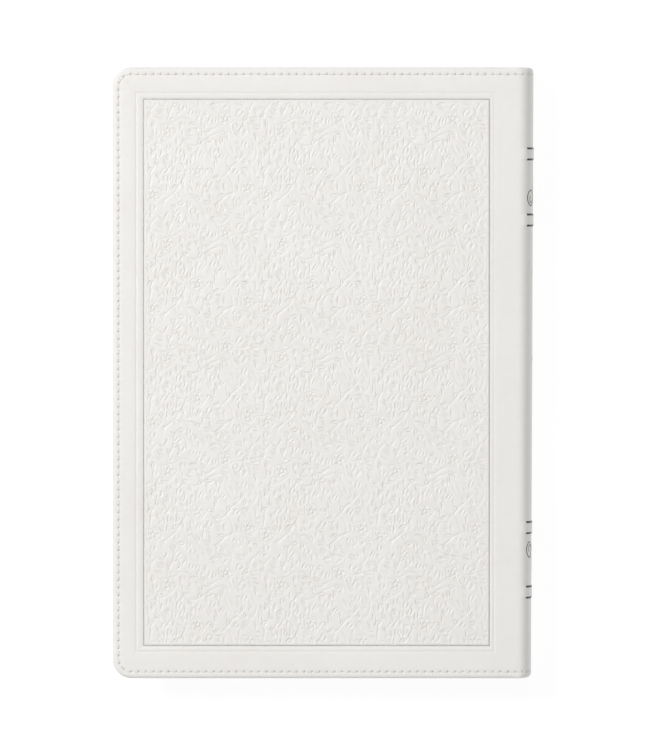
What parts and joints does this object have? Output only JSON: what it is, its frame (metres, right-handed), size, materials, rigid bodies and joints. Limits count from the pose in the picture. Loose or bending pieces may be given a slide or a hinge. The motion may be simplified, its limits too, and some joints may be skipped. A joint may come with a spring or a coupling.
{
  "type": "bible",
  "caption": "Thick hand-size bible with sewn page sections in a soft white stitched case with a rounded, hubbed spine; both covers and the leaves open.",
  "frame": {"origin": "middle of the front cover's outer face, which the shut book lies on", "axes": "+X from fore edge to spine, +Y from tail to head, +Z out of the back cover"},
  "size_m": [0.16, 0.232, 0.03],
  "materials": {
    "case_skin": "white grained imitation leather, satin",
    "board": "grey bookbinder's card",
    "end_paper": "smooth off-white endpaper",
    "page_paper": "thin cream book paper, silvered edges",
    "thread": "white sewing thread",
    "cloth": "open cotton binding cloth"
  },
  "bodies": {
    "first_pages": {"spine_skin": "case_skin", "spine_card": "board", "spine_mull": "cloth", "head_band": "cloth", "tail_band": "cloth", "hub_strip_1": "board", "hub_strip_2": "board", "hub_strip_3": "board", "hub_strip_4": "board", "spine_stitching_head": "thread", "spine_stitching_tail": "thread", "front_flyleaf": "end_paper", "section_01": "page_paper", "section_02": "page_paper", "section_03": "page_paper", "section_04": "page_paper"},
    "second_pages": {"section_05": "page_paper", "section_06": "page_paper", "section_07": "page_paper", "section_08": "page_paper"},
    "third_pages": {"section_09": "page_paper", "section_10": "page_paper", "section_11": "page_paper", "section_12": "page_paper"},
    "last_pages": {"section_13": "page_paper", "section_14": "page_paper", "section_15": "page_paper", "section_16": "page_paper", "back_flyleaf": "end_paper"},
    "front_cover": {"front_cover_skin": "case_skin", "front_cover_board": "board", "front_cover_liner": "end_paper", "front_cover_stitching": "thread"},
    "back_cover": {"back_cover_skin": "case_skin", "back_cover_board": "board", "back_cover_liner": "end_paper", "back_cover_stitching": "thread"}
  },
  "joints": [
    {"name": "front_cover_hinge", "type": "hinge", "parent": "first_pages", "child": "front_cover", "pos_m": [0.075, 0, 0.0011], "axis": [0, 1, 0], "range_deg": [-180, 0], "deforming": ["spine_skin", "spine_stitching_head", "spine_stitching_tail"]},
    {"name": "back_cover_hinge", "type": "hinge", "parent": "last_pages", "child": "back_cover", "pos_m": [0.075, 0, 0.0289], "axis": [0, 1, 0], "range_deg": [0, 170], "deforming": ["spine_skin", "spine_stitching_head", "spine_stitching_tail"]},
    {"name": "open_first", "type": "hinge", "parent": "first_pages", "child": "second_pages", "pos_m": [0.0802, 0, 0.00895], "axis": [0, -1, 0], "range_deg": [-80, 0], "deforming": ["spine_skin", "spine_card", "spine_mull", "head_band", "tail_band", "hub_strip_1", "hub_strip_2", "hub_strip_3", "hub_strip_4", "spine_stitching_head", "spine_stitching_tail"]},
    {"name": "open_middle", "type": "hinge", "parent": "second_pages", "child": "third_pages", "pos_m": [0.0802, 0, 0.015], "axis": [0, 1, 0], "range_deg": [0, 175], "deforming": ["spine_skin", "spine_card", "spine_mull", "head_band", "tail_band", "hub_strip_1", "hub_strip_2", "hub_strip_3", "hub_strip_4", "spine_stitching_head", "spine_stitching_tail"]},
    {"name": "open_last", "type": "hinge", "parent": "third_pages", "child": "last_pages", "pos_m": [0.0802, 0, 0.02105], "axis": [0, -1, 0], "range_deg": [-80, 0], "deforming": ["spine_skin", "spine_card", "spine_mull", "head_band", "tail_band", "hub_strip_1", "hub_strip_2", "hub_strip_3", "hub_strip_4", "spine_stitching_head", "spine_stitching_tail"]}
  ]
}
